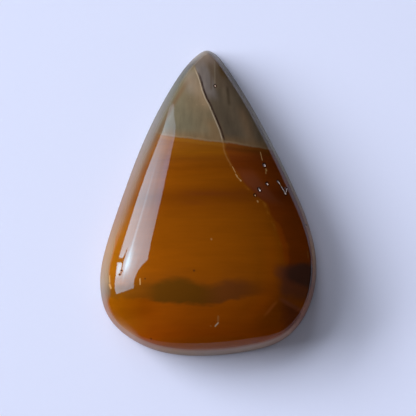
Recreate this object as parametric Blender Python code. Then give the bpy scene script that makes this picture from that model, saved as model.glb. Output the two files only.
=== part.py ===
"""A polished, pear-shaped jasper cabochon: one stone with a flat back, a steep side and a low dome.

Metres, +Z up, +Y towards the pointed end. The origin is on the flat back, under the middle of the stone.
"""

import math

import bmesh
import bpy
import numpy as np
from mathutils import Vector

MM = 0.001
WELD = 1e-7  # metres
STONE = "jasper_cabochon"

# Driving sizes, in millimetres
LENGTH = 38.0
WIDTH = 26.3
BACK_BEVEL = 0.35  # the small bevel round the back
SIDE_TOP = 3.2  # height where the steep side turns into the dome
EDGE_ROUND = 0.15  # how far to either side the edge between side and dome is rounded
EDGE_ROUND_SHARE = 0.30  # and the share of the side's run that is added to that
NOSE_FROM = 3.0  # how far up the stone its nose begins, where the side gets lower and its edge rounder
TIP_SIDE_TOP = 2.2
TIP_ROUND = 0.45  # added to the edge's round at the tip
TIP_HALF_WIDTH = 0.9  # the dome never gets narrower than this towards the tip

# The dome's section: its height over the side's top, as shares of the half width there
DOME_RISE = 0.318
DOME_FALL = 0.194  # the broad crown, with the square of the way out
DOME_SHOULDER = 0.124  # the turn down at the shoulder, with its fifth power

# The outline, clockwise from the tip, as shares of the half width and half length, and how far the
# side leans in there on its way up, in millimetres. The left side is a little straighter than the
# right and leans in more, and the butt slants.
OUTLINE = (
    (-0.012, 1.000, 0.85),
    (0.080, 0.966, 0.70),
    (0.165, 0.893, 0.62),
    (0.336, 0.708, 0.58),
    (0.561, 0.425, 0.56),
    (0.783, 0.105, 0.55),
    (0.946, -0.190, 0.52),
    (1.000, -0.450, 0.48),
    (0.933, -0.680, 0.36),
    (0.745, -0.868, 0.38),
    (0.400, -0.967, 0.40),
    (-0.030, -1.000, 0.38),
    (-0.430, -0.975, 0.30),
    (-0.742, -0.877, 0.24),
    (-0.950, -0.710, 0.42),
    (-1.000, -0.515, 0.80),
    (-0.945, -0.290, 0.95),
    (-0.813, 0.000, 0.96),
    (-0.625, 0.360, 0.94),
    (-0.373, 0.720, 0.88),
    (-0.195, 0.905, 0.80),
    (-0.105, 0.968, 0.82),
)
FINE_STEPS = 24  # outline samples between two of its points

# The hairline fracture that runs back from the tip over the dome, as (x, y) in millimetres
FRACTURE = (
    (-1.5, 15.9),
    (-1.1, 14.8),
    (-0.9, 14.1),
    (-0.6, 12.9),
    (-0.2, 11.8),
    (0.2, 11.0),
    (1.0, 9.0),
    (1.5, 7.7),
    (1.8, 6.6),
    (1.9, 5.3),
)
FRACTURE_STEP = 0.6
FRACTURE_RADIUS = 0.13
FRACTURE_DEPTH = 0.07

# Pits left in the polish: x, y, radius and depth in millimetres
PITS = (
    (0.8, 13.5, 0.22, 0.09),
    (6.5, 4.3, 0.20, 0.09),
    (6.8, 3.6, 0.30, 0.14),
    (7.1, 1.2, 0.26, 0.12),
    (6.2, 0.4, 0.28, 0.12),
    (5.6, -0.3, 0.22, 0.10),
    (8.4, 1.8, 0.24, 0.11),
    (8.9, 1.0, 0.28, 0.13),
    (9.3, 0.3, 0.26, 0.12),
    (9.5, 1.1, 0.20, 0.09),
    (11.9, -3.5, 0.32, 0.15),
    (0.9, -15.4, 0.24, 0.10),
)

# The mesh
AROUND = 110  # points round a ring
TURN_STEP = 6.0  # millimetres that a turn of one radian counts for, so that the tip gets more of them
RIM_RINGS = 9  # rings of faces over the side and the shoulder
RIM_BAND = 2.4  # how far in those reach
CROWN_RINGS = 12


def smooth_loop(points, steps):
    """A closed curve through the points, smooth up to its curvature: a periodic cubic spline in x and y."""
    count = len(points)
    ahead = np.roll(points, -1, axis=0)
    span = np.linalg.norm((ahead - points)[:, :2], axis=1)
    span_before = np.roll(span, 1)
    slope = (ahead - points) / span[:, None]
    system = np.zeros((count, count))
    for i in range(count):
        system[i, i - 1] = span_before[i]
        system[i, i] = 2 * (span_before[i] + span[i])
        system[i, (i + 1) % count] = span[i]
    bend = np.linalg.solve(system, 6 * (slope - np.roll(slope, 1, axis=0)))
    bend_ahead = np.roll(bend, -1, axis=0)
    curve = []
    for i in range(count):
        for b in np.arange(steps) / steps:
            a = 1 - b
            sag = ((a**3 - a) * bend[i] + (b**3 - b) * bend_ahead[i]) * span[i] ** 2 / 6
            curve.append(a * points[i] + b * ahead[i] + sag)
    return np.array(curve)


def outline():
    """The outline in millimetres, its box centred on the origin and exactly WIDTH by LENGTH, and the runs."""
    loop, runs = np.split(smooth_loop(np.array(OUTLINE), FINE_STEPS), [2], axis=1)
    low = loop.min(axis=0)
    high = loop.max(axis=0)
    return (loop - (low + high) / 2) / (high - low) * (WIDTH, LENGTH), runs[:, 0]


def inward(loop):
    """Unit vectors across a clockwise loop, pointing into it."""
    ahead = np.roll(loop, -1, axis=0) - loop
    ahead /= np.linalg.norm(ahead, axis=1)[:, None]
    along = ahead + np.roll(ahead, 1, axis=0)
    across = np.column_stack([along[:, 1], -along[:, 0]])
    return across / np.linalg.norm(across, axis=1)[:, None]


EDGE, SIDE_RUN = outline()
EDGE_INWARD = inward(EDGE)
SHOULDER = EDGE + SIDE_RUN[:, None] * EDGE_INWARD  # the line where the side meets the dome

# The middle of the round end: level with the shoulder's widest place
MIDDLE_Y = (SHOULDER[SHOULDER[:, 0].argmin(), 1] + SHOULDER[SHOULDER[:, 0].argmax(), 1]) / 2


def shoulder_x(y):
    """Where the shoulder's left and right sides are, at heights y from the middle to the tip."""
    tip = SHOULDER[:, 1].argmax()
    butt = SHOULDER[:, 1].argmin()
    from_tip = np.roll(SHOULDER, -tip, axis=0)
    turn = (butt - tip) % len(SHOULDER)
    right = from_tip[: turn + 1][::-1]
    left = from_tip[turn:]
    return np.interp(y, left[:, 1], left[:, 0]), np.interp(y, right[:, 1], right[:, 0])


def spine(y):
    """The middle line of the dome and its half width there. Past MIDDLE_Y both stay as they are."""
    left, right = shoulder_x(np.maximum(y, MIDDLE_Y))
    half = (right - left) / 2
    return (left + right) / 2, np.hypot(half, TIP_HALF_WIDTH)


MIDDLE = np.array([float(spine(MIDDLE_Y)[0]), MIDDLE_Y])


def by_direction(loop, values, angle):
    """Values that are known along a loop, read off in given directions from MIDDLE."""
    arms = loop - MIDDLE
    angles = np.arctan2(arms[:, 1], arms[:, 0])
    order = np.argsort(angles)
    return np.interp(angle, angles[order], values[order], period=math.tau)


def shoulder_reach(angle):
    """How far the shoulder is from MIDDLE, in each direction."""
    return by_direction(SHOULDER, np.linalg.norm(SHOULDER - MIDDLE, axis=1), angle)


def nose(y):
    """0 up to where the nose begins, then rising to 1 at the tip."""
    return np.clip((y - NOSE_FROM) / (LENGTH / 2 - NOSE_FROM), 0, 1) ** 2


def side_top(y):
    """The height where the side turns into the dome."""
    return SIDE_TOP + (TIP_SIDE_TOP - SIDE_TOP) * nose(y)


def dome(places):
    """The dome's height. Towards the tip every cross-section has one shape, scaled to its width.

    Past the shoulder, under the side's face, it goes on straight.
    """
    x, y = places.T
    middle_x, half = spine(y)
    arm_x, arm_y = (places - MIDDLE).T
    joined = shoulder_reach(0.0) / spine(MIDDLE_Y)[1]
    way_out = np.where(
        y > MIDDLE_Y,
        np.abs(x - middle_x) / half,
        np.hypot(arm_x, arm_y) / shoulder_reach(np.arctan2(arm_y, arm_x)) * joined,
    )
    inner = np.minimum(way_out, 1)
    fall = DOME_FALL * inner**2 + DOME_SHOULDER * inner**5
    fall += (2 * DOME_FALL + 5 * DOME_SHOULDER) * (way_out - inner)
    return side_top(y) + half * (DOME_RISE - fall)


def inset(places):
    """How far in from the outline each place is, and the side's run that way. Both are round at the tip too."""
    arms = EDGE - MIDDLE
    arm_x, arm_y = (places - MIDDLE).T
    angle = np.arctan2(arm_y, arm_x)
    reach = by_direction(EDGE, np.linalg.norm(arms, axis=1), angle)
    depth = by_direction(EDGE, -(arms * EDGE_INWARD).sum(axis=1), angle)
    return (1 - np.hypot(arm_x, arm_y) / reach) * depth, by_direction(EDGE, SIDE_RUN, angle)


def surface(places):
    """The height of the polished face over each place: the lower of side and dome, run together."""
    gap, run = inset(places)
    steepness = (SIDE_TOP - BACK_BEVEL) / run
    side = BACK_BEVEL + gap * steepness
    top = dome(places)
    round_reach = EDGE_ROUND + EDGE_ROUND_SHARE * run + TIP_ROUND * nose(places[:, 1])
    softness = round_reach * (steepness - 1)
    overlap = np.maximum(softness - np.abs(side - top), 0) / softness
    return np.maximum(np.minimum(side, top) - overlap**2 * softness / 4, BACK_BEVEL)


def spread_round(count):
    """Places round the outline, closer together where it turns, and the inward direction at each."""
    step = np.linalg.norm(np.roll(EDGE, -1, axis=0) - EDGE, axis=1)
    turn = np.linalg.norm(np.roll(EDGE_INWARD, -1, axis=0) - EDGE_INWARD, axis=1)
    passed = np.concatenate([[0], np.cumsum(step + TURN_STEP * turn)])
    wanted = np.arange(count) / count * passed[-1]
    columns = []
    for values in (*EDGE.T, *EDGE_INWARD.T):
        columns.append(np.interp(wanted, passed, np.append(values, values[0])))
    return np.column_stack(columns[:2]), np.column_stack(columns[2:])


def drawn_in(loop, across, gap):
    """The outline's loop drawn in towards MIDDLE until its inset is gap."""
    arms = MIDDLE - loop
    return loop + arms * (gap / (arms * across).sum(axis=1))[:, None]


def stone_rings():
    """The stone as rings of points from the back's edge to the crown, each a list of (x, y, z)."""
    loop, across = spread_round(AROUND)
    back = drawn_in(loop, across, BACK_BEVEL)
    plans = [drawn_in(loop, across, gap) for gap in np.linspace(0, RIM_BAND, RIM_RINGS + 1)]
    inner = plans[-1]
    for share in np.arange(1, CROWN_RINGS) / CROWN_RINGS:
        plans.append(inner + (MIDDLE - inner) * share)
    rings = [np.column_stack([back, np.zeros(AROUND)])]
    rings += [np.column_stack([plan, surface(plan)]) for plan in plans]
    return rings


def stone_material():
    material = bpy.data.materials.new("Polished jasper")
    material.use_nodes = True
    shader = material.node_tree.nodes["Principled BSDF"]
    shader.inputs["Base Color"].default_value = (0.24, 0.085, 0.012, 1)
    shader.inputs["Roughness"].default_value = 0.06
    shader.inputs["Metallic"].default_value = 0
    shader.inputs["IOR"].default_value = 1.54
    return material


def make_stone():
    """A ball whose rings are moved onto the stone's: the lowest to the flat back, the rest up the face."""
    rings = stone_rings()
    bands = len(rings) + 1
    shape = bmesh.new()
    bmesh.ops.create_uvsphere(shape, u_segments=AROUND, v_segments=bands, radius=1)
    for vertex in shape.verts:
        ring = round(math.acos(-vertex.co.z) / math.pi * bands) - 1
        turn = round(math.atan2(vertex.co.x, vertex.co.y) / math.tau * AROUND) % AROUND
        if ring < 0:
            place = (*MIDDLE, 0)
        elif ring == len(rings):
            place = (*MIDDLE, surface(MIDDLE[None])[0])
        else:
            place = rings[ring][turn]
        vertex.co = Vector(place) * MM
    mesh = bpy.data.meshes.new(STONE)
    shape.to_mesh(mesh)
    shape.free()
    mesh.shade_smooth()
    mesh.materials.append(stone_material())
    return bpy.data.objects.new(STONE, mesh)


def fracture_cutter():
    """A thin tube along the fracture, sunk into the dome by the fracture's depth."""
    corners = np.array(FRACTURE)
    passed = np.concatenate([[0], np.cumsum(np.linalg.norm(np.diff(corners, axis=0), axis=1))])
    wanted = np.linspace(0, passed[-1], round(passed[-1] / FRACTURE_STEP) + 1)
    route = np.column_stack([np.interp(wanted, passed, column) for column in corners.T])
    heights = surface(route) + FRACTURE_RADIUS - FRACTURE_DEPTH
    curve = bpy.data.curves.new("fracture route", "CURVE")
    curve.dimensions = "3D"
    curve.bevel_depth = FRACTURE_RADIUS * MM
    curve.bevel_resolution = 2
    curve.use_fill_caps = True
    spline = curve.splines.new("POLY")
    spline.points.add(len(route) - 1)
    for point, (x, y), z in zip(spline.points, route, heights):
        point.co = (x * MM, y * MM, z * MM, 1)
    tube = bpy.data.objects.new("fracture tube", curve)
    bpy.context.scene.collection.objects.link(tube)
    evaluated = tube.evaluated_get(bpy.context.evaluated_depsgraph_get())
    mesh = bpy.data.meshes.new_from_object(evaluated)
    bpy.data.objects.remove(tube)
    shape = bmesh.new()
    shape.from_mesh(mesh)
    bmesh.ops.remove_doubles(shape, verts=shape.verts, dist=WELD)
    shape.to_mesh(mesh)
    shape.free()
    return bpy.data.objects.new("fracture cutter", mesh)


def pit_cutter(x, y, radius, depth):
    """A small ball that bites the pit out of the face."""
    height = surface(np.array([[x, y]]))[0] + radius - depth
    shape = bmesh.new()
    bmesh.ops.create_uvsphere(shape, u_segments=10, v_segments=7, radius=radius * MM)
    mesh = bpy.data.meshes.new("pit cutter")
    shape.to_mesh(mesh)
    shape.free()
    ball = bpy.data.objects.new("pit cutter", mesh)
    ball.location = Vector((x, y, height)) * MM
    return ball


def cut(stone, cutters):
    """Cuts every object of the cutters' collection out of the stone."""
    for cutter in cutters.objects:
        cutter.hide_render = True
        cutter.display_type = "WIRE"
    modifier = stone.modifiers.new("Fracture and pits", "BOOLEAN")
    modifier.operation = "DIFFERENCE"
    modifier.operand_type = "COLLECTION"
    modifier.collection = cutters
    modifier.solver = "EXACT"


def main():
    for obj in list(bpy.data.objects):
        bpy.data.objects.remove(obj)
    collection = bpy.data.collections.new("Jasper cabochon")
    cutters = bpy.data.collections.new("Cutters")
    for made in (collection, cutters):
        bpy.context.scene.collection.children.link(made)
    stone = make_stone()
    collection.objects.link(stone)
    cutters.objects.link(fracture_cutter())
    for pit in PITS:
        cutters.objects.link(pit_cutter(*pit))
    cut(stone, cutters)


main()
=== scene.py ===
"""The looks of the polished jasper cabochon: its fine surface, its pattern and the light it lies in.

Shapes and patterns are worked out in millimetres on the CAD's axes: +Y runs to the pointed end, +Z up.
"""

import math
from functools import reduce

import bmesh
import bpy
import numpy as np
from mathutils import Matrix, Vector


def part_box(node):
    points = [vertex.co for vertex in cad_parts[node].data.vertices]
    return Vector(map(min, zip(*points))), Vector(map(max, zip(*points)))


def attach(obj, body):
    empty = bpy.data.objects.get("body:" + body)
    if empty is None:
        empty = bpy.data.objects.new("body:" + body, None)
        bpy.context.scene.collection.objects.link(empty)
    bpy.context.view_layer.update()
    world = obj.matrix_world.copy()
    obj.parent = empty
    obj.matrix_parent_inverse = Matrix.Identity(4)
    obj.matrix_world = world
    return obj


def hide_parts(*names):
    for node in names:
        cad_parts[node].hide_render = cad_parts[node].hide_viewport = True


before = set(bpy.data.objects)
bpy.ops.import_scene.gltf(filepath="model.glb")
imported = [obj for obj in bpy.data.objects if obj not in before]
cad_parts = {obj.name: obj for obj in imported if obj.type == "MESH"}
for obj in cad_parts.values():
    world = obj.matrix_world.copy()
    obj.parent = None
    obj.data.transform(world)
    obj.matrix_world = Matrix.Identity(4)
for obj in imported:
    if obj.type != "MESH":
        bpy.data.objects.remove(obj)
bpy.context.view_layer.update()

MM = 0.001
NODE = "jasper_cabochon"
LOW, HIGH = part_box(NODE)
WIDTH = (HIGH.x - LOW.x) / MM
LENGTH = (HIGH.y - LOW.y) / MM

# The stone's section, as in the CAD
BACK_BEVEL = 0.35
SIDE_TOP = 3.2
EDGE_ROUND = 0.15
EDGE_ROUND_SHARE = 0.30
NOSE_FROM = 3.0  # how far up the stone its nose begins, where the side gets lower and its edge rounder
TIP_SIDE_TOP = 2.2
TIP_ROUND = 0.45
TIP_HALF_WIDTH = 0.9
DOME_RISE = 0.318
DOME_FALL = 0.194
DOME_SHOULDER = 0.124

# The outline, clockwise from the tip, as shares of the half width and half length, and the side's run
OUTLINE = (
    (-0.012, 1.000, 0.85),
    (0.080, 0.966, 0.70),
    (0.165, 0.893, 0.62),
    (0.336, 0.708, 0.58),
    (0.561, 0.425, 0.56),
    (0.783, 0.105, 0.55),
    (0.946, -0.190, 0.52),
    (1.000, -0.450, 0.48),
    (0.933, -0.680, 0.36),
    (0.745, -0.868, 0.38),
    (0.400, -0.967, 0.40),
    (-0.030, -1.000, 0.38),
    (-0.430, -0.975, 0.30),
    (-0.742, -0.877, 0.24),
    (-0.950, -0.710, 0.42),
    (-1.000, -0.515, 0.80),
    (-0.945, -0.290, 0.95),
    (-0.813, 0.000, 0.96),
    (-0.625, 0.360, 0.94),
    (-0.373, 0.720, 0.88),
    (-0.195, 0.905, 0.80),
    (-0.105, 0.968, 0.82),
)
FINE_STEPS = 48

# The hairline fracture from the tip over the dome, as (x, y)
FRACTURE = (
    (-1.5, 15.9), (-1.1, 14.8), (-0.9, 14.1), (-0.6, 12.9), (-0.2, 11.8),
    (0.2, 11.0), (1.0, 9.0), (1.5, 7.7), (1.8, 6.6), (1.9, 5.3),
)
FRACTURE_RADIUS = 0.11
FRACTURE_DEPTH = 0.02
FRACTURE_FADE = ((3.1, 3.7, 6.0, 6.8), (0.2, 0.2, 0.2, 1.0))  # over y, how much of that depth is left

# Past the open fracture its plane goes on as a seam, down the right shoulder
SEAM = (
    (2.2, 4.4), (2.9, 3.1), (3.9, 1.4), (5.6, -0.4), (6.8, -1.3),
    (7.2, -2.4), (7.9, -3.9), (8.3, -5.1), (8.8, -6.5), (9.0, -8.4),
    (8.6, -11.4), (7.7, -13.4), (6.7, -14.7),
)

# Pits left in the polish: x, y, radius and depth
PITS = (
    (0.80, 13.55, 0.14, 0.05),
    (6.72, 3.60, 0.24, 0.12),
    (7.02, 1.20, 0.20, 0.10),
    (6.08, 0.40, 0.22, 0.11),
    (5.54, -0.34, 0.14, 0.05),
    (8.45, 1.62, 0.20, 0.10),
    (8.98, 0.82, 0.15, 0.09),
    (9.22, 0.28, 0.16, 0.09),
    (9.40, 0.85, 0.16, 0.08),
    (11.80, -3.45, 0.18, 0.10),
    (0.72, -15.50, 0.09, 0.03),
    (-10.33, -9.26, 0.13, 0.06),
    (-10.52, -9.72, 0.14, 0.06),
)

# Pale flecks of quartz in the face, the palest being painted glints off chips, as lines: from x, y to x, y,
# the half width and how pale
FLECKS = (
    (0.81, 13.58, 0.84, 13.52, 0.10, 0.80),
    (2.88, 3.13, 3.23, 2.43, 0.06, 0.42),
    (3.26, 2.20, 3.50, 1.81, 0.08, 0.44),
    (3.50, 1.81, 3.90, 1.39, 0.07, 0.38),
    (3.40, 2.00, 3.44, 1.90, 0.10, 0.52),
    (3.84, 1.46, 3.90, 1.38, 0.10, 0.58),
    (6.28, 5.17, 6.50, 4.15, 0.07, 0.50),
    (6.74, 3.62, 6.80, 3.44, 0.13, 1.00),
    (6.93, 3.05, 6.99, 2.85, 0.13, 0.45),
    (6.90, 2.70, 6.92, 2.45, 0.08, 0.35),
    (7.03, 1.25, 7.12, 1.08, 0.11, 0.80),
    (6.04, 0.50, 6.18, 0.24, 0.11, 0.95),
    (5.54, -0.32, 5.58, -0.38, 0.10, 0.62),
    (5.86, -1.05, 5.90, -1.15, 0.14, 0.38),
    (8.38, 1.66, 8.60, 1.32, 0.08, 0.85),
    (8.66, 1.22, 8.80, 0.95, 0.06, 0.60),
    (8.80, 0.95, 9.22, 0.30, 0.07, 0.85),
    (9.26, 0.22, 9.30, 0.10, 0.11, 1.00),
    (9.50, 0.85, 9.36, 0.36, 0.07, 0.85),
    (11.74, -3.20, 11.84, -3.22, 0.07, 0.55),
    (11.72, -3.66, 11.84, -3.70, 0.07, 0.60),
    (11.90, -6.80, 11.95, -7.60, 0.08, 0.15),
    (0.82, -15.98, 1.14, -15.62, 0.13, 0.60),
    (1.14, -15.40, 1.16, -14.90, 0.20, 0.16),
    (0.26, -15.95, 0.32, -15.98, 0.14, 0.16),
    (-8.08, -10.40, -8.06, -11.05, 0.10, 0.48),
    (-11.82, -9.75, -11.78, -10.50, 0.11, 0.34),
    (-11.80, -10.80, -11.62, -11.25, 0.14, 0.50),
    (0.34, -5.80, 0.38, -5.84, 0.16, 0.22),
)

# The fine mesh
AROUND = 560
TURN_STEP = 6.0
BACK_RINGS = 6
RIM_RINGS = 30
RIM_BAND = 2.4
CROWN_RINGS = 64
FINE_REACH = 0.45  # how far round the flaws the mesh is cut finer
FINE_CUTS = 3
HEM = 0.17  # how wide the painted shadow is round a glint paler than HEMMED
HEMMED = 0.6
PIT_MARK = "pit_depth"
FLECK_MARK = "fleck"

# The camera: how far it leans from straight down, how far off it is, and how wide it sees there
CAMERA_TILT = math.radians(10)
CAMERA_DISTANCE = 205.0
VIEW_WIDTH = 51.04
CAMERA_AIM = (-0.04, -0.85, 0.0)
CAMERA_CLIP = (0.01, 10.0)  # in metres
SENSOR = 36.0

# The window's bearing from the stone, counter-clockwise from +X, and how far off it is in metres
WINDOW_BEARING = math.radians(145)
WINDOW_DISTANCE = 1.5
WINDOW_WAY = Vector((math.cos(WINDOW_BEARING), math.sin(WINDOW_BEARING), 0))
UP = Vector((0, 0, 1))

# The window as the polish mirrors it, with a dark gap in it: (along, up) in shares of its distance.
# Its points are places on the photo's reflection, worked back to the window by a scratch script and rounded
WINDOW_OUTLINE = (
    (-0.12, 0.04), (-0.16, 0.23), (-0.20, 0.55), (-0.25, 0.80), (-0.25, 0.93),
    (-0.17, 1.01), (-0.13, 1.06), (-0.03, 1.06), (0.07, 1.10), (0.18, 1.20),
    (0.25, 1.06), (0.32, 0.97), (0.43, 0.93), (0.51, 0.96), (0.63, 1.02),
    (0.69, 0.67), (0.72, 0.37), (0.60, 0.29), (0.37, 0.23), (0.30, 0.20),
    (0.30, 0.34), (0.33, 0.37), (0.36, 0.38), (0.40, 0.36), (0.41, 0.41),
    (0.37, 0.43), (0.33, 0.40), (0.29, 0.38), (0.22, 0.39), (0.21, 0.37),
    (0.25, 0.35), (0.27, 0.31), (0.27, 0.20), (0.13, 0.20), (0.09, 0.24),
    (0.03, 0.27), (-0.06, 0.27), (-0.08, 0.25), (-0.11, 0.10),
)

# The soft daylight: its panes' reach along and up, in the same shares, and how bright they are, which was
# first solved for by a scratch script from the photo's floor and shadow
DAYLIGHT = (
    ("window_low", (-0.20, 0.96), (0.25, 0.50), 30.0),
    ("window_high", (-0.20, 0.96), (0.50, 0.90), 7.1),
    ("room_side", (-1.40, -0.20), (0.60, 1.60), 2.7),
)
DAYLIGHT_DISTANCE = 1.6  # in metres
OVERHEAD_SIZE = 1.6  # in metres
OVERHEAD_BRIGHT = 0.42
DAY = (0.714, 0.764, 1.0)


class Pattern:
    """Builds a pattern out of shader nodes. Its values are node outputs or plain numbers.

    Its coordinates are kept in at, under the names that limits call them by.
    """

    def __init__(self, tree, unit=1.0, space="Object"):
        self.nodes = tree.nodes
        self.links = tree.links
        self.place = self.bright(self.node("TexCoord").outputs[space], 1 / unit)
        x, y, z = self.node("SeparateXYZ", (self.place,)).outputs
        self.at = {"x": x, "y": y, "z": z, "xy": (x, y)}

    def put(self, socket, value):
        if isinstance(value, bpy.types.NodeSocket):
            self.links.new(value, socket)
        else:
            socket.default_value = value

    def node(self, kind, values=(), **settings):
        """A new node with its settings, and with values for its first usable sockets in their order."""
        node = self.nodes.new("ShaderNode" + kind)
        for name, setting in settings.items():
            setattr(node, name, setting)
        usable = [socket for socket in node.inputs if socket.enabled]
        for socket, value in zip(usable, values):
            self.put(socket, value)
        return node

    def math(self, operation, *values):
        """One operation over any number of values, two by two."""
        return reduce(lambda a, b: self.node("Math", (a, b), operation=operation).outputs[0], values)

    def plus(self, *values):
        return self.math("ADD", *values)

    def minus(self, a, b):
        return self.math("SUBTRACT", a, b)

    def times(self, *values):
        return self.math("MULTIPLY", *values)

    def highest(self, *values):
        return self.math("MAXIMUM", *values)

    def rise(self, value, start, end, before=0.0, after=1.0):
        """Smoothly from before, at start, to after, at end. The start may be the higher of the two."""
        values = (value, start, end, before, after)
        return self.node("MapRange", values, interpolation_type="SMOOTHSTEP").outputs[0]

    def between(self, value, low, high, soft):
        """1 between low and high, with soft edges."""
        over_low = self.rise(value, low - soft, low + soft)
        under_high = self.rise(value, high + soft, high - soft)
        return self.times(over_low, under_high)

    def near(self, value, middle, reach):
        """1 at the middle, falling smoothly to 0 at the reach on either side."""
        away = self.node("Math", (self.minus(value, middle),), operation="ABSOLUTE").outputs[0]
        return self.rise(away, reach, 0.0)

    def vein(self, xy, start, end, reach):
        """1 along a straight line between two places, falling to 0 at the reach to either side."""
        x, y = xy
        lean = (end[0] - start[0]) / (end[1] - start[1])
        middle = self.plus(self.times(self.minus(y, start[1]), lean), start[0])
        low, high = sorted((start[1], end[1]))
        return self.times(self.near(self.minus(x, middle), 0.0, reach), self.between(y, low, high, reach))

    def scaled(self, value, from_low, from_high, to_low, to_high):
        values = (value, from_low, from_high, to_low, to_high)
        return self.node("MapRange", values, clamp=False).outputs[0]

    def read_off(self, value, points):
        """A number read off a line through the points."""
        inputs, results = np.array(sorted(points)).T
        low, high = results.min(), results.max()
        across = (inputs - inputs[0]) / (inputs[-1] - inputs[0])
        spots = np.column_stack([across, (results - low) / (high - low)])
        node = self.node("FloatCurve")
        curve = node.mapping.curves[0]
        curve.points[0].location = spots[0]
        curve.points[1].location = spots[-1]
        for spot in spots[1:-1]:
            curve.points.new(*spot)
        for point in curve.points:
            point.handle_type = "VECTOR"
        node.mapping.update()
        self.put(node.inputs["Value"], self.scaled(value, float(inputs[0]), float(inputs[-1]), 0.0, 1.0))
        return self.scaled(node.outputs[0], 0.0, 1.0, float(low), float(high))

    def noise(self, size, reach=1.0, detail=2.0, stretch=(1.0, 1.0, 1.0)):
        """Soft noise round 0, with spots of a size and a reach from its lowest to its highest.

        A share below 1 in the stretch draws the spots out along that axis.
        """
        place = self.node("VectorMath", (self.place, stretch), operation="MULTIPLY").outputs[0]
        texture = self.node("TexNoise")
        self.put(texture.inputs["Vector"], place)
        self.put(texture.inputs["Scale"], 1.0 / size)
        self.put(texture.inputs["Detail"], detail)
        return self.times(self.minus(texture.outputs[0], 0.5), reach)

    def mix(self, share, start, end, **settings):
        """A colour that share of the way from the start colour to the end colour."""
        node = self.node("Mix", data_type="RGBA", **settings)
        for name, value in (("Factor", share), ("A", start), ("B", end)):
            self.put(node.inputs[name], opaque(value))
        return node.outputs["Result"]

    def tint(self, share, colour, factors):
        """The colour times the factors, where share is 1."""
        return self.mix(share, colour, factors, blend_type="MULTIPLY")

    def bright(self, colour, factor):
        """The colour times one number."""
        node = self.node("VectorMath", operation="SCALE")
        self.put(node.inputs[0], colour)
        self.put(node.inputs["Scale"], factor)
        return node.outputs[0]

    def ramp(self, value, stops):
        """Colours between (value, colour) stops."""
        low, high = stops[0][0], stops[-1][0]
        node = self.node("ValToRGB", (self.scaled(value, low, high, 0.0, 1.0),))
        elements = node.color_ramp.elements
        for _ in stops[2:]:
            elements.new(0.5)
        for element, (where, colour) in zip(elements, stops):
            element.position = (where - low) / (high - low)
            element.color = opaque(colour)
        return node.outputs[0]

    def share(self, limits, most=1.0):
        """The most, times each limit: a coordinate's name, then a method's name and its numbers."""
        for name, kind, *numbers in limits:
            most = self.times(most, getattr(self, kind)(self.at[name], *numbers))
        return most

    def lay(self, patches, colour):
        """Lays patches over a colour. Each is mix or tint, a colour, the most it shows, and its limits."""
        for how, own_colour, most, *limits in patches.values():
            colour = getattr(self, how)(self.share(limits, most), colour, own_colour)
        return colour


def opaque(value):
    """A colour with its alpha, or a number or node output as it is."""
    return (*value, 1.0) if isinstance(value, tuple) else value


def smooth_loop(points, steps):
    """A closed curve through the points, smooth up to its curvature: a periodic cubic spline in x and y."""
    count = len(points)
    ahead = np.roll(points, -1, axis=0)
    span = np.linalg.norm((ahead - points)[:, :2], axis=1)
    span_before = np.roll(span, 1)
    slope = (ahead - points) / span[:, None]
    system = np.zeros((count, count))
    for i in range(count):
        system[i, i - 1] = span_before[i]
        system[i, i] = 2 * (span_before[i] + span[i])
        system[i, (i + 1) % count] = span[i]
    bend = np.linalg.solve(system, 6 * (slope - np.roll(slope, 1, axis=0)))
    bend_ahead = np.roll(bend, -1, axis=0)
    curve = []
    for i in range(count):
        for b in np.arange(steps) / steps:
            a = 1 - b
            sag = ((a**3 - a) * bend[i] + (b**3 - b) * bend_ahead[i]) * span[i] ** 2 / 6
            curve.append(a * points[i] + b * ahead[i] + sag)
    return np.array(curve)


def outline():
    """The outline, its box centred on the origin and exactly WIDTH by LENGTH, and the side's runs."""
    loop, runs = np.split(smooth_loop(np.array(OUTLINE), FINE_STEPS), [2], axis=1)
    low = loop.min(axis=0)
    high = loop.max(axis=0)
    return (loop - (low + high) / 2) / (high - low) * (WIDTH, LENGTH), runs[:, 0]


def inward(loop):
    """Unit vectors across a clockwise loop, pointing into it."""
    ahead = np.roll(loop, -1, axis=0) - loop
    ahead /= np.linalg.norm(ahead, axis=1)[:, None]
    along = ahead + np.roll(ahead, 1, axis=0)
    across = np.column_stack([along[:, 1], -along[:, 0]])
    return across / np.linalg.norm(across, axis=1)[:, None]


EDGE, SIDE_RUN = outline()
EDGE_INWARD = inward(EDGE)
SHOULDER = EDGE + SIDE_RUN[:, None] * EDGE_INWARD
MIDDLE_Y = (SHOULDER[SHOULDER[:, 0].argmin(), 1] + SHOULDER[SHOULDER[:, 0].argmax(), 1]) / 2


def shoulder_x(y):
    """Where the shoulder's left and right sides are, at heights y from the middle to the tip."""
    tip = SHOULDER[:, 1].argmax()
    butt = SHOULDER[:, 1].argmin()
    from_tip = np.roll(SHOULDER, -tip, axis=0)
    turn = (butt - tip) % len(SHOULDER)
    right = from_tip[: turn + 1][::-1]
    left = from_tip[turn:]
    return np.interp(y, left[:, 1], left[:, 0]), np.interp(y, right[:, 1], right[:, 0])


def spine(y):
    """The middle line of the dome and its half width there. Past MIDDLE_Y both stay as they are."""
    left, right = shoulder_x(np.maximum(y, MIDDLE_Y))
    half = (right - left) / 2
    return (left + right) / 2, np.hypot(half, TIP_HALF_WIDTH)


MIDDLE = np.array([float(spine(MIDDLE_Y)[0]), MIDDLE_Y])


def by_direction(loop, values, angle):
    """Values that are known along a loop, read off in given directions from MIDDLE."""
    arms = loop - MIDDLE
    angles = np.arctan2(arms[:, 1], arms[:, 0])
    order = np.argsort(angles)
    return np.interp(angle, angles[order], values[order], period=math.tau)


def shoulder_reach(angle):
    """How far the shoulder is from MIDDLE, in each direction."""
    return by_direction(SHOULDER, np.linalg.norm(SHOULDER - MIDDLE, axis=1), angle)


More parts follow.
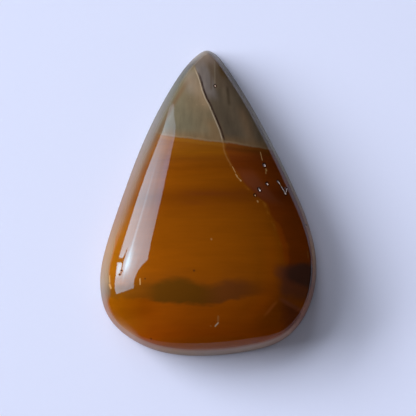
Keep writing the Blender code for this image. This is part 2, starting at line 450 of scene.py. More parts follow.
def nose(y):
    """0 up to where the nose begins, then rising to 1 at the tip."""
    return np.clip((y - NOSE_FROM) / (LENGTH / 2 - NOSE_FROM), 0, 1) ** 2


def side_top(y):
    """The height where the side turns into the dome."""
    return SIDE_TOP + (TIP_SIDE_TOP - SIDE_TOP) * nose(y)


def dome(places):
    """The dome's height. Towards the tip every cross-section has one shape, scaled to its width.

    Past the shoulder, under the side's face, it goes on straight.
    """
    x, y = places.T
    middle_x, half = spine(y)
    arm_x, arm_y = (places - MIDDLE).T
    joined = shoulder_reach(0.0) / spine(MIDDLE_Y)[1]
    way_out = np.where(
        y > MIDDLE_Y,
        np.abs(x - middle_x) / half,
        np.hypot(arm_x, arm_y) / shoulder_reach(np.arctan2(arm_y, arm_x)) * joined,
    )
    inner = np.minimum(way_out, 1)
    fall = DOME_FALL * inner**2 + DOME_SHOULDER * inner**5
    fall += (2 * DOME_FALL + 5 * DOME_SHOULDER) * (way_out - inner)
    return side_top(y) + half * (DOME_RISE - fall)


def inset(places):
    """How far in from the outline each place is, and the side's run that way, both round at the tip too."""
    arms = EDGE - MIDDLE
    arm_x, arm_y = (places - MIDDLE).T
    angle = np.arctan2(arm_y, arm_x)
    reach = by_direction(EDGE, np.linalg.norm(arms, axis=1), angle)
    depth = by_direction(EDGE, -(arms * EDGE_INWARD).sum(axis=1), angle)
    return (1 - np.hypot(arm_x, arm_y) / reach) * depth, by_direction(EDGE, SIDE_RUN, angle)


def surface(places):
    """The height of the polished face over each place: the lower of side and dome, run together."""
    gap, run = inset(places)
    steepness = (SIDE_TOP - BACK_BEVEL) / run
    side = BACK_BEVEL + gap * steepness
    top = dome(places)
    round_reach = EDGE_ROUND + EDGE_ROUND_SHARE * run + TIP_ROUND * nose(places[:, 1])
    softness = round_reach * (steepness - 1)
    overlap = np.maximum(softness - np.abs(side - top), 0) / softness
    return np.maximum(np.minimum(side, top) - overlap**2 * softness / 4, BACK_BEVEL)


def spread_round(count):
    """Places round the outline, closer together where it turns, and the inward direction at each."""
    step = np.linalg.norm(np.roll(EDGE, -1, axis=0) - EDGE, axis=1)
    turn = np.linalg.norm(np.roll(EDGE_INWARD, -1, axis=0) - EDGE_INWARD, axis=1)
    passed = np.concatenate([[0], np.cumsum(step + TURN_STEP * turn)])
    wanted = np.arange(count) / count * passed[-1]
    columns = []
    for values in (*EDGE.T, *EDGE_INWARD.T):
        columns.append(np.interp(wanted, passed, np.append(values, values[0])))
    return np.column_stack(columns[:2]), np.column_stack(columns[2:])


def drawn_in(loop, across, gap):
    """The outline's loop drawn in towards MIDDLE until its inset is gap."""
    arms = MIDDLE - loop
    return loop + arms * (gap / (arms * across).sum(axis=1))[:, None]


def stone_rings():
    """The stone as rings of points from the middle of the back over the edge to the crown."""
    loop, across = spread_round(AROUND)
    back = drawn_in(loop, across, BACK_BEVEL)
    rings = []
    for share in np.arange(1, BACK_RINGS) / BACK_RINGS:
        rings.append(np.column_stack([MIDDLE + (back - MIDDLE) * share, np.zeros(AROUND)]))
    rings.append(np.column_stack([back, np.zeros(AROUND)]))
    plans = [drawn_in(loop, across, gap) for gap in np.linspace(0, RIM_BAND, RIM_RINGS + 1)]
    inner = plans[-1]
    for share in np.arange(1, CROWN_RINGS) / CROWN_RINGS:
        plans.append(inner + (MIDDLE - inner) * share)
    rings += [np.column_stack([plan, surface(plan)]) for plan in plans]
    return rings


def stone_shape():
    """The stone's rings joined into one closed skin, in millimetres."""
    rings = stone_rings()
    bottom = len(rings) * AROUND
    top = bottom + 1
    points = np.concatenate(rings + [[(*MIDDLE, 0), (*MIDDLE, surface(MIDDLE[None])[0])]])
    faces = []
    for turn in range(AROUND):
        after = (turn + 1) % AROUND
        faces.append((bottom, turn, after))
        faces.append((top, bottom - AROUND + after, bottom - AROUND + turn))
        for ring in range(0, bottom - AROUND, AROUND):
            faces.append((ring + turn, ring + AROUND + turn, ring + AROUND + after, ring + after))
    mesh = bpy.data.meshes.new("polished_jasper")
    mesh.from_pydata(points, [], faces)
    return mesh


def gaps(places, starts, ends):
    """How far each place is from its own straight piece."""
    along = ends - starts
    share = ((places - starts) * along).sum(axis=-1) / (along**2).sum(axis=-1)
    return np.linalg.norm(places - starts - np.clip(share, 0, 1)[:, None] * along, axis=1)


def fracture_distance(places):
    corners = np.array(FRACTURE)
    return np.min([gaps(places, *piece) for piece in zip(corners[:-1], corners[1:])], axis=0)


def fleck_distance(places, fleck):
    """How far each place is from the line of a fleck or glint."""
    return gaps(places, *np.reshape(fleck, (2, 2)))


def pit_distance(places, x, y):
    """How far each place is from a pit's middle."""
    return np.hypot(places[:, 0] - x, places[:, 1] - y)


def flaw_distance(places):
    """How far each place is from the nearest fracture, pit, fleck or glint."""
    away = fracture_distance(places)
    for *fleck, half_width, _ in FLECKS:
        away = np.minimum(away, fleck_distance(places, fleck) - half_width)
    for x, y, radius, _ in PITS:
        away = np.minimum(away, pit_distance(places, x, y) - radius)
    return away


def flaw_depth(places):
    """How deep the fracture and the pits are below the polished face."""
    away = fracture_distance(places) / FRACTURE_RADIUS
    depth = FRACTURE_DEPTH * np.maximum(1 - away**2, 0) * np.interp(places[:, 1], *FRACTURE_FADE)
    for x, y, radius, deep in PITS:
        away = pit_distance(places, x, y) / radius
        depth = np.maximum(depth, deep * np.maximum(1 - away**2, 0))
    return depth


def fleck_strength(places):
    """How pale the flecks and painted glints are, down to 0 at their edges and below 0 in the painted shadow
    round the palest ones.
    """
    strength = np.zeros(len(places))
    # hem holds the painted shadow beside the palest flecks, which are painted glints
    hem = np.zeros(len(places))
    for *fleck, half_width, pale in FLECKS:
        away = fleck_distance(places, fleck) / half_width
        strength = np.maximum(strength, pale * (1 - away**2))
        if pale > HEMMED:
            hem_share = np.clip((1 + HEM / half_width - away) * half_width / HEM, 0, 1)
            hem = np.minimum(hem, -hem_share)
    return np.where(strength > 0, strength, hem)


def near_flaws(shape, reach):
    """The vertices of the polished face within reach of the fracture, a pit, a fleck or a glint."""
    top = [vertex for vertex in shape.verts if vertex.co.z > BACK_BEVEL]
    away = flaw_distance(np.array([vertex.co[:2] for vertex in top]))
    return [vertex for vertex, distance in zip(top, away) if distance < reach]


def cut_flaws(shape):
    """Cuts the mesh finer round the flaws, then sinks them into the face and notes where they are."""
    pit_layer = shape.verts.layers.float.new(PIT_MARK)
    fleck_layer = shape.verts.layers.float.new(FLECK_MARK)
    near = set(near_flaws(shape, FINE_REACH))
    edges = [edge for edge in shape.edges if edge.verts[0] in near and edge.verts[1] in near]
    bmesh.ops.subdivide_edges(shape, edges=edges, cuts=FINE_CUTS, use_grid_fill=True)
    fine = near_flaws(shape, FINE_REACH)
    places = np.array([vertex.co[:2] for vertex in fine])
    depths = flaw_depth(places)
    for vertex, height, depth, fleck in zip(fine, surface(places), depths, fleck_strength(places)):
        vertex.co.z = height - depth
        vertex[pit_layer] = depth
        vertex[fleck_layer] = fleck


def make_stone():
    mesh = stone_shape()
    shape = bmesh.new()
    shape.from_mesh(mesh)
    cut_flaws(shape)
    bmesh.ops.triangulate(shape, faces=[face for face in shape.faces if len(face.verts) > 4])
    bmesh.ops.scale(shape, vec=(MM, MM, MM), verts=shape.verts)
    shape.to_mesh(mesh)
    shape.free()
    mesh.shade_smooth()
    stone = bpy.data.objects.new("polished_jasper", mesh)
    bpy.context.scene.collection.objects.link(stone)
    return stone


def aim(obj, way):
    """Turns an object's -Z to point a given way."""
    obj.rotation_euler = way.to_track_quat("-Z", "Y").to_euler()


def make_camera():
    data = bpy.data.cameras.new("camera")
    data.sensor_width = SENSOR
    data.lens = SENSOR * CAMERA_DISTANCE / VIEW_WIDTH
    data.clip_start, data.clip_end = CAMERA_CLIP
    camera = bpy.data.objects.new("camera", data)
    bpy.context.scene.collection.objects.link(camera)
    target = Vector(CAMERA_AIM) * MM
    back = Vector((0, -math.sin(CAMERA_TILT), math.cos(CAMERA_TILT)))
    camera.location = target + back * CAMERA_DISTANCE * MM
    aim(camera, target - camera.location)
    bpy.context.scene.camera = camera


def soft_light(name, size, radiance, place, way):
    """A rectangle of even daylight that shines a given way. The polish doesn't mirror it."""
    data = bpy.data.lights.new(name, "AREA")
    data.shape = "RECTANGLE"
    data.size, data.size_y = size
    data.color = DAY
    data.energy = radiance * math.pi * data.size * data.size_y
    light = bpy.data.objects.new(name, data)
    bpy.context.scene.collection.objects.link(light)
    light.location = place
    aim(light, way)
    light.visible_camera = False
    light.visible_glossy = False


def make_daylight():
    along = Vector((-WINDOW_WAY.y, WINDOW_WAY.x, 0))
    for name, sides, heights, radiance in DAYLIGHT:
        size = ((sides[1] - sides[0]) * DAYLIGHT_DISTANCE, (heights[1] - heights[0]) * DAYLIGHT_DISTANCE)
        place = (WINDOW_WAY + along * sum(sides) / 2 + UP * sum(heights) / 2) * DAYLIGHT_DISTANCE
        soft_light(name, size, radiance, place, -WINDOW_WAY)
    soft_light("overhead", (OVERHEAD_SIZE, OVERHEAD_SIZE), OVERHEAD_BRIGHT, UP * WINDOW_DISTANCE, -UP)


def make_window():
    """The window that the polish mirrors: a flat shape that only gloss sees."""
    mesh = bpy.data.meshes.new("window")
    points = [(along, up, 0) for along, up in WINDOW_OUTLINE]
    mesh.from_pydata(points, [], [range(len(points))])
    window = bpy.data.objects.new("window", mesh)
    bpy.context.scene.collection.objects.link(window)
    window.location = WINDOW_WAY * WINDOW_DISTANCE
    window.rotation_euler = (math.pi / 2, 0, WINDOW_BEARING + math.pi / 2)
    window.scale = (WINDOW_DISTANCE,) * 3
    window.visible_camera = False
    window.visible_diffuse = False
    window.visible_shadow = False
    window.visible_transmission = False
    mesh.materials.append(window_material())


# The window's tones. In its own space x runs along it and y up, in the outline's shares
WINDOW_GLOW = (3.2, 5.8, 7.4)
WINDOW_TONES = {
    "far end": ("mix", (1.8, 2.1, 2.6), 1.0, ("x", "rise", 0.20, -0.20)),
    "cooler top": ("tint", (1.0, 1.13, 1.32), 1.0, ("y", "rise", 0.70, 0.98), ("x", "rise", 0.04, -0.10)),
    "dimmer near end": ("tint", (0.74, 0.74, 0.74), 1.0, ("x", "rise", 0.40, 0.62)),
}
WINDOW_DIMMING = (0.2, 1.1, 1.16, 0.84)  # from this height to that one, and how bright it is there
WINDOW_CLOUDS = dict(size=0.14, reach=0.35, stretch=(0.6, 1.0, 1.0))

# The glare in it: its colour, and for each place the most that it adds and its limits
WINDOW_GLARE = (4.2, 8.2, 11.0)
WINDOW_GLARES = {
    "sill": (0.5, ("y", "near", 0.512, 0.055), ("x", "between", 0.10, 0.42, 0.14)),
    "core": (0.75, ("y", "near", 0.54, 0.15), ("x", "near", 0.285, 0.13)),
    "halo": (0.35, ("y", "near", 0.56, 0.36), ("x", "near", 0.30, 0.18)),
    "corner": (0.7, ("y", "near", 0.30, 0.14), ("x", "near", 0.34, 0.12)),
}


def window_material():
    """Panes of daylight, cooler and dimmer towards the far end, with a glare round the sill."""
    material = bpy.data.materials.new("window")
    material.use_nodes = True
    nodes = material.node_tree.nodes
    nodes.clear()
    p = Pattern(material.node_tree)
    glow = p.lay(WINDOW_TONES, WINDOW_GLOW)
    glow = p.bright(glow, p.scaled(p.at["y"], *WINDOW_DIMMING))
    glow = p.bright(glow, p.plus(p.noise(**WINDOW_CLOUDS), 1.0))
    glare = p.plus(*[p.share(limits, most) for most, *limits in WINDOW_GLARES.values()])
    glow = p.node("VectorMath", (glow, p.bright(WINDOW_GLARE, glare)), operation="ADD").outputs[0]
    emission = p.node("Emission", (glow,))
    output = nodes.new("ShaderNodeOutputMaterial")
    p.put(output.inputs["Surface"], emission.outputs[0])
    return material


# The dim room: its tone by how far up one looks, from the horizon, at 0, to straight up, at 1
ROOM_TONES = (
    (0.0, (0.16, 0.175, 0.21)),
    (0.8, (0.004, 0.004, 0.005)),
)

# The floor, in metres
FLOOR_SIZE = 6.0
FLOOR_DROP = 0.00002
FLOOR_WHITE = (0.86, 0.86, 0.87)
FLOOR_ROUGHNESS = 0.7


def make_world():
    """A dim room, which lights the stone and isn't mirrored."""
    world = bpy.data.worlds.new("room")
    bpy.context.scene.world = world
    world.use_nodes = True
    p = Pattern(world.node_tree, space="Generated")
    p.put(world.node_tree.nodes["Background"].inputs["Color"], p.ramp(p.at["z"], ROOM_TONES))
    world.cycles_visibility.glossy = False


def make_floor():
    bpy.ops.mesh.primitive_plane_add(size=FLOOR_SIZE, location=(0, 0, -FLOOR_DROP))
    floor = bpy.context.object
    floor.name = "floor"
    material = bpy.data.materials.new("white_card")
    material.use_nodes = True
    shader = material.node_tree.nodes["Principled BSDF"]
    shader.inputs["Base Color"].default_value = opaque(FLOOR_WHITE)
    shader.inputs["Roughness"].default_value = FLOOR_ROUGHNESS
    floor.data.materials.append(material)


# In the stone's patches, past is how far right of the fracture's line a place is, over is how far above the
# cap's border it is, and height is its z as if the shoulder were as high all round

# The amber layers from the butt up: y, and their colour. The lowest are brighter, partly their own redder
# colour and partly painted glow of light through the stone
AMBER_LAYERS = (
    (-19.0, (0.330, 0.085, 0.002)),
    (-17.0, (0.350, 0.062, 0.001)),
    (-15.2, (0.300, 0.060, 0.001)),
    (-13.8, (0.270, 0.056, 0.001)),
    (-10.5, (0.248, 0.058, 0.001)),
    (-7.0, (0.240, 0.057, 0.001)),
    (-3.5, (0.215, 0.052, 0.001)),
    (-1.8, (0.200, 0.047, 0.001)),
    (-0.9, (0.160, 0.037, 0.001)),
    (-0.2, (0.150, 0.034, 0.001)),
    (0.6, (0.185, 0.044, 0.001)),
    (1.8, (0.205, 0.050, 0.001)),
    (3.0, (0.180, 0.043, 0.001)),
    (4.3, (0.175, 0.045, 0.002)),
    (5.0, (0.200, 0.058, 0.002)),
    (6.4, (0.200, 0.060, 0.004)),
)
AMBER_SLANT = -0.035
AMBER_WAVES = dict(size=8.0, reach=0.9)
AMBER_RIPPLES = dict(size=2.2, reach=0.35)
AMBER_BANDS = dict(size=1.1, detail=3.0, stretch=(0.14, 1.0, 0.4))
AMBER_GRAIN = dict(size=0.30, stretch=(0.10, 1.0, 0.4))
GRAIN_DEPTH = (0.0, 3.0, 0.16, 0.28)  # from this y to that one, and how deep it is there
BANDS_DEEPER = 0.10
AMBER_PATCHES = {
    "yellow left": ("mix", (0.290, 0.092, 0.003), 0.7, ("x", "rise", -6.0, -12.0), ("y", "rise", 5.0, -3.0)),
    "green left foot": (
        "tint", (0.80, 0.72, 0.20), 1.0,
        ("y", "between", -15.0, -12.3, 0.7), ("x", "rise", -5.0, -8.0),
    ),
    "cloudy band": (
        "mix", (0.134, 0.029, 0.003), 0.8, ("bands", "rise", -0.12, 0.16),
        ("layer", "between", -1.7, 0.5, 0.5), ("x", "between", -2.5, 4.5, 2.0),
    ),
}

# The green-brown lens: the y of its upper and lower edge by x
LENS_TOP = (
    (-12.8, -11.2), (-11.0, -10.9), (-8.4, -10.9), (-5.9, -10.8), (-4.7, -10.45),
    (-3.3, -10.4), (-2.2, -10.7), (-1.0, -11.2), (0.4, -11.45), (1.4, -11.0),
    (2.2, -10.65), (3.8, -10.7), (7.0, -11.5),
)
LENS_BASE = (
    (-12.8, -12.3), (-11.0, -12.5), (-8.4, -12.6), (-5.1, -13.2), (-3.3, -13.3),
    (-1.0, -13.5), (0.2, -13.6), (1.4, -13.35), (2.6, -13.05), (3.8, -12.75),
    (7.0, -12.2),
)
LENS_OLIVE = (0.104, 0.035, 0.002)
LENS_BROWN = (0.132, 0.034, 0.005)
LENS_TURN = (-1.5, 2.2)  # the x where the olive turns into the brown
LENS_WAVES = dict(size=1.6, reach=0.7, detail=3.0)
LENS_WISPS = dict(size=0.7, reach=0.9, detail=3.0, stretch=(0.35, 1.0, 1.0))
OVER_LENS_BASE = ("over_lens_base", "rise", -0.35, 0.30)
LENS_HAZE = {
    "haze": (
        "mix", LENS_BROWN, 0.22,
        ("over_lens_top", "rise", 1.9, -0.6), ("x", "between", -9.0, 8.0, 2.0), OVER_LENS_BASE,
    ),
}
LENS_SHARE = 0.92
LENS_LIMITS = (
    ("over_lens_top", "rise", 0.6, -0.7),
    OVER_LENS_BASE,
    ("x", "rise", 7.2, 3.4),
    ("x", "rise", -8.0, -5.6, 0.55, 1.0),
)

# The right side, past the seam. Along LATE_STRETCH it starts LATE_BY further to the right
SEAM_WAVES = dict(size=1.4, reach=0.6, detail=3.0)
LATE_STRETCH = (-8.6, -3.6, 0.8)
LATE_BY = 0.55
RIGHT_PATCHES = {
    # Painted light: a glow before the seam, and painted shade on the redder side past it
    "glow before the seam": (
        "tint", (1.28, 1.18, 1.0), 1.0,
        ("past", "between", -2.0, -0.1, 0.9), ("y", "rise", -2.0, -8.0), ("y", "rise", -16.5, -13.5),
    ),
    "red strip": (
        "tint", (1.10, 0.84, 1.0), 0.99,
        ("past", "between", 0.0, 0.7, 0.25), ("y", "between", *LATE_STRETCH),
    ),
    "dark side": (
        "tint", (0.80, 0.60, 1.5), 1.0,
        ("past_late", "rise", -0.10, 0.40), ("y", "rise", -12.5, -9.0),
    ),
    "lilac patch": (
        "mix", (0.175, 0.052, 0.022), 0.35,
        ("past_wavy", "between", 0.3, 2.3, 0.5), ("y", "between", -1.0, 2.6, 1.0),
    ),
}

# The dark blob: its middle, and one over its half width and half height
BLOB_MIDDLE = (12.0, -9.7)
BLOB_SHRINKS = (0.34, 0.68)
BLOB_WAVES = dict(size=1.5, reach=1.1, detail=3.0)
BLOB_WAVES_UP = 0.6  # the waves' share of their reach in the blob's height
HEM_STEP = (-10.9, -9.9, 0.0, 0.6)  # from this y to that one, and how much further left the hem starts
WEDGE_X = 8.4
WEDGE_SLOPE = 0.43
BLOB_PATCHES = {
    "hem": (
        "mix", (0.140, 0.038, 0.015), 0.8,
        ("hem_x", "rise", 7.9, 9.3), ("blob_y", "between", -12.6, -8.9, 0.7),
    ),
    "blob": ("mix", (0.070, 0.025, 0.013), 0.95, ("from_blob", "rise", 1.25, 0.72)),
    "dusky foot": (
        "tint", (0.56, 0.56, 6.0), 1.0,
        ("slope", "rise", -12.7, -13.2), ("blob_x", "rise", 7.9, 9.8), ("y", "rise", -18.0, -15.5),
    ),
    "pale wedge": (
        "mix", (0.240, 0.062, 0.024), 0.8,
        ("slope", "near", -12.75, 0.5), ("x", "rise", 8.0, 9.2),
    ),
    "end of the seam": ("mix", (0.430, 0.098, 0.013), 0.8, ("xy", "vein", (8.0, -13.1), (6.7, -14.7), 0.4)),
}

# The grey cap: its border's y where x and z are 0, how it slants with x and z, and its bend at the left
CAP_BORDER_Y = 7.06
CAP_SLANT_X = -0.127
CAP_SLANT_Z = -0.12
CAP_BEND_FROM = -4.0
CAP_BEND = 0.07
CAP_WAVES = dict(size=1.4, reach=0.35, detail=3.0)
CAP_RIPPLES = dict(size=0.3, reach=0.14)
CAP_EDGE = (-0.16, 0.14)
FRACTURE_EDGE = (-0.06, 0.06)
UNDER_CAP = {
    "pale line": (
        "mix", (0.250, 0.095, 0.008), 1.0,
        ("over", "near", -0.30, 0.40), ("past", "rise", -0.1, 0.4, 0.5, 0.2),
    ),
    "dark line": (
        "mix", (0.100, 0.026, 0.003), 0.6,
        ("over", "near", -0.55, 0.60), ("past", "rise", -0.1, 0.4),
    ),
}
CAP_BORDER = {"line": ("mix", (0.260, 0.165, 0.075), 0.40, ("over", "near", 0.10, 0.22))}
CAP_RUST = (0.185, 0.098, 0.034)
CAP_STREAKS = dict(size=0.55, reach=0.50, detail=3.0, stretch=(1.0, 0.22, 0.4))
CAP_CLOUDS = dict(size=1.8, reach=0.25)
CAP_PATCHES = {
    "rusty border": ("mix", CAP_RUST, 0.65, ("over", "rise", 1.4, 0.0)),
    "rusty fracture": ("mix", CAP_RUST, 0.5, ("past", "near", -0.6, 1.2), ("y", "between", 6.9, 9.0, 0.6)),
    "tip": ("mix", (0.235, 0.165, 0.110), 0.9, ("y", "rise", 15.8, 17.9)),
}

# The cap's stone left and right of the fracture. Right of it, it is darker partly as painted shade from the
# fracture
CAP_OLIVE = (0.134, 0.107, 0.053)
CAP_DARK = (0.088, 0.062, 0.033)
CAP_PALE = (0.205, 0.157, 0.092)
CAP_GOLD = (0.300, 0.190, 0.090)
CAP_DRIFT = dict(size=2.0, reach=2.0)
CAP_GRAINS = dict(size=0.35)
CAP_LEFT = {
    "warm": ("mix", (0.180, 0.126, 0.058), 1.0, ("past_drifting", "rise", -4.2, -0.3)),
    "pale": ("mix", CAP_PALE, 1.0, ("y", "between", 12.6, 16.0, 1.1), ("past", "between", -1.9, -0.3, 0.6)),
    "gold": ("mix", CAP_GOLD, 0.45, ("past", "near", -0.5, 1.3), ("y", "between", 10.6, 14.6, 0.9)),
    "grains": (
        "mix", CAP_GOLD, 1.0,
        ("past", "near", -1.1, 1.3), ("y", "between", 10.7, 12.3, 0.5), ("grains", "rise", 0.10, 0.24),
    ),
}
CAP_SWAY = dict(size=1.2)
CAP_SWAY_ACROSS = 0.5
CAP_RIGHT = {
    "brown": ("mix", (0.130, 0.090, 0.047), 1.0, ("past", "rise", 1.2, 2.6)),
    "warmer end": ("mix", (0.120, 0.080, 0.042), 1.0, ("y_swaying", "rise", 12.4, 14.2)),
    "lilac": (
        "mix", (0.150, 0.118, 0.084), 1.0,
        ("past_swaying", "rise", 1.75, 0.95), ("y_swaying", "rise", 11.2, 13.0),
    ),
    "broad rusty vein": ("mix", (0.205, 0.125, 0.058), 0.9, ("xy", "vein", (4.1, 10.8), (5.5, 5.4), 1.05)),
    "brown vein": ("mix", (0.105, 0.070, 0.040), 0.7, ("xy", "vein", (0.35, 17.4), (0.35, 13.0), 0.26)),
    "pale vein": ("mix", CAP_PALE, 0.5, ("xy", "vein", (0.78, 17.0), (0.80, 13.6), 0.15)),
    "rusty vein": ("mix", (0.092, 0.048, 0.013), 0.8, ("xy", "vein", (1.35, 17.0), (1.90, 14.8), 0.70)),
    "dark vein": ("mix", (0.055, 0.035, 0.016), 0.6, ("xy", "vein", (2.30, 13.5), (2.55, 11.1), 0.32)),
}

# The fracture and the seam, the pits, the flecks and the painted glints
NEARLY_BLACK = (0.022, 0.010, 0.006)
FLECK_GOLD = (0.420, 0.210, 0.060)
# The white of the painted glints, and the fleck strengths over which the gold turns into it
FLECK_WHITE = (0.850, 0.730, 0.650)
FLECK_WHITENS = (0.45, 0.75)
FLECK_SHOWS = (0.0, 0.40)
ACROSS_FRACTURE = 0.93  # how much shorter the way across it is than the way along x
FRACTURE_BREAKS = dict(size=0.8)
SEAM_BREAKS = dict(size=0.9, detail=3.0)
# The cream edge is partly a painted highlight on the crack's lip, and the dark gap partly painted shadow
# beside it
FRACTURE_PATCHES = {
    "cream edge": (
        "mix", (0.450, 0.340, 0.200), 1.0, ("breaks", "rise", -0.30, 0.10, 0.35, 0.80),
        ("past", "near", -0.13, 0.14), ("y", "between", 6.5, 15.9, 0.5),
    ),
    "dark gap": (
        "mix", NEARLY_BLACK, 1.0, ("breaks", "rise", -0.30, 0.10, 0.55, 1.00),
        ("past", "near", 0.08, 0.20), ("y", "between", 6.3, 15.2, 0.8),
    ),
    "gold end": ("mix", FLECK_GOLD, 0.22, ("past", "near", -0.05, 0.16), ("y", "between", 3.2, 6.6, 0.4)),
    "seam": (
        "mix", (0.38, 0.13, 0.015), 0.45, ("seam_breaks", "rise", -0.05, 0.20),
        ("past", "near", -0.12, 0.28), ("y", "between", -6.0, 5.0, 1.0),
    ),
}

# Dark specks: x, y and reach
SPECKS = (
    (-1.68, -9.58, 0.20),
    (-7.47, -10.40, 0.16),
    (-6.80, -17.30, 0.18),
)
SPECK_SHARE = 0.8

# Painted shade in the pits and painted shadow beside the glints, by the depth and the fleck and glint
# strength that the mesh carries
FLAW_PATCHES = {
    "pits": ("mix", NEARLY_BLACK, 0.85, ("pit", "rise", 0.01, 0.05)),
    "hems": ("mix", NEARLY_BLACK, 0.92, ("fleck", "rise", 0.0, -0.8)),
}

# The side's duller stone, with painted reflection of the floor and painted glow through the edge: its
# colours by y on the left and on the right, and by x along the butt. They follow a scratch script's
# measures of the photo
RIND_LEFT = (
    (-17.0, (0.27, 0.095, 0.030)),
    (-13.4, (0.21, 0.070, 0.015)),
    (-11.6, (0.16, 0.100, 0.050)),
    (-10.3, (0.22, 0.135, 0.060)),
    (-6.2, (0.24, 0.120, 0.035)),
    (-1.8, (0.185, 0.088, 0.034)),
    (3.5, (0.17, 0.100, 0.050)),
    (9.2, (0.12, 0.095, 0.060)),
    (14.3, (0.068, 0.060, 0.026)),
    (16.8, (0.052, 0.040, 0.018)),
    (18.7, (0.20, 0.155, 0.095)),
)
RIND_RIGHT = (
    (-14.3, (0.43, 0.165, 0.085)),
    (-10.8, (0.315, 0.130, 0.070)),
    (-6.9, (0.40, 0.190, 0.060)),
    (-2.6, (0.33, 0.175, 0.105)),
    (2.0, (0.25, 0.185, 0.105)),
    (7.1, (0.31, 0.280, 0.205)),
    (11.7, (0.20, 0.150, 0.080)),
    (15.2, (0.090, 0.068, 0.026)),
    (18.6, (0.25, 0.190, 0.110)),
)
RIND_BUTT = (
    (-11.2, (0.250, 0.095, 0.020)),
    (-10.3, (0.330, 0.130, 0.032)),
    (-9.2, (0.390, 0.185, 0.085)),
    (-7.5, (0.350, 0.150, 0.060)),
    (-3.9, (0.400, 0.225, 0.100)),
    (0.5, (0.450, 0.300, 0.210)),
    (5.3, (0.520, 0.345, 0.235)),
    (9.1, (0.590, 0.340, 0.235)),
    (11.6, (0.430, 0.165, 0.090)),
)
RIND_DRIFT = dict(size=2.6, reach=0.9)
RIND_WAVES = dict(size=1.2, reach=0.3)
ON_RIGHT = ("x", "rise", -1.0, 1.0)
ON_LEFT = ("x", "rise", 1.0, -1.0)
ON_BUTT = ("y", "rise", -13.0, -16.0)

# How far up the rind and its painted reflection reach: the heights where they are gone and full, narrow, and
# broad on the upper left
RIND_NARROW = (3.45, 3.10)
RIND_BROAD = (4.45, 3.40)
BROAD_FROM = ("y", "rise", -6.5, -2.5)
BROAD_LOWER = (7.5, 10.5, 0.0, 0.35)  # from this y to that one, and how much lower it ends there
NARROW_RAISED = 0.28  # how much further up it reaches on the left, along each stretch of y
NARROW_RAISES = ((-12.6, -5.5, 0.8), (-12.6, -9.8, 0.8))
FOOT_REACH = (3.45, 2.30)
FOOT_CORNER = (-6.8, -9.2, 0.0, 0.75)  # from this x to that one, and how much further up it reaches there
RIND_PATCHES = {
    "brown shoulder": (
        "mix", (0.120, 0.055, 0.018), 0.55,
        ("height", "near", 3.95, 0.30), ON_LEFT, ("y", "between", 6.5, 14.5, 1.5),
    ),
    "dark line": (
        "mix", NEARLY_BLACK, 0.45,
        ("height", "near", 3.58, 0.22), ON_RIGHT, ("y", "between", -12.5, 9.0, 1.0),
    ),
}

# Where the finish isn't the polish
IN_PITS = ("pit", "rise", 0.01, 0.06)
ON_BACK = ("z", "rise", 0.08, 0.02)
ON_SIDE = ("height", "rise", SIDE_TOP + 0.50, SIDE_TOP)

# How rough the polish is, and how rough those are
JASPER_IOR = 1.54
POLISH = 0.035
POLISH_WAVES = dict(size=1.5, reach=0.03, detail=4.0)
ROUGHER = ((IN_PITS, 0.40), (ON_BACK, 0.38), (ON_SIDE, 0.32))

# The gloss of the polish, and of what is dull: the pits, the side, and the edge on the left and the butt
GLOSS = 0.5
DULL_GLOSS = 0.12
DULL_EDGE = ("edge_height", "rise", SIDE_TOP + 1.00, SIDE_TOP + 0.60)
DULL_EDGE_SHARE = 0.8
DULL_EDGE_LEFT = (0.0, -3.0)
DULL_EDGE_BUTT = (-12.5, -14.5)
DULL_EDGE_RAISED = 0.15  # how much further up it reaches at the butt

# The marks of grinding on the back, in millimetres
GRINDING = dict(size=0.12, detail=4.0, stretch=(0.15, 1.0, 1.0))
GRINDING_STRENGTH = 0.35
GRINDING_DEPTH = 0.02


def amber_layers(p):
    """Thin amber layers, each at nearly one height, yellower towards the left rim."""
    waves = p.plus(p.noise(**AMBER_WAVES), p.noise(**AMBER_RIPPLES))
    p.at["layer"] = p.plus(p.at["y"], waves, p.times(p.at["x"], AMBER_SLANT))
    p.at["bands"] = p.noise(**AMBER_BANDS)
    colour = p.lay(AMBER_PATCHES, p.ramp(p.at["layer"], AMBER_LAYERS))
    depth = p.rise(p.at["y"], *GRAIN_DEPTH)
    bands = p.times(p.at["bands"], p.plus(depth, BANDS_DEEPER))
    return p.bright(colour, p.plus(bands, p.times(p.noise(**AMBER_GRAIN), depth), 1.0))


def lens(p, colour):
    """The green-brown lens across the butt, crisp below and hazy above."""
    wisps = p.noise(**LENS_WISPS)
    height = p.plus(p.at["y"], p.noise(**LENS_WAVES), wisps)
    p.at["over_lens_top"] = p.minus(height, p.read_off(p.at["x"], LENS_TOP))
    p.at["over_lens_base"] = p.minus(height, p.read_off(p.at["x"], LENS_BASE))
    stone = p.mix(p.rise(p.plus(p.at["x"], wisps), *LENS_TURN), LENS_OLIVE, LENS_BROWN)
    return p.mix(p.share(LENS_LIMITS, LENS_SHARE), p.lay(LENS_HAZE, colour), stone)


def right_side(p, colour):
    """Past the seam the stone is redder, and darker with painted shade from the fracture. Before it, painted
    light makes it glow up a little.
    """
    p.at["past_wavy"] = p.plus(p.at["past"], p.noise(**SEAM_WAVES))
    late = p.times(p.between(p.at["y"], *LATE_STRETCH), LATE_BY)
    p.at["past_late"] = p.minus(p.at["past_wavy"], late)
    return p.lay(RIGHT_PATCHES, colour)


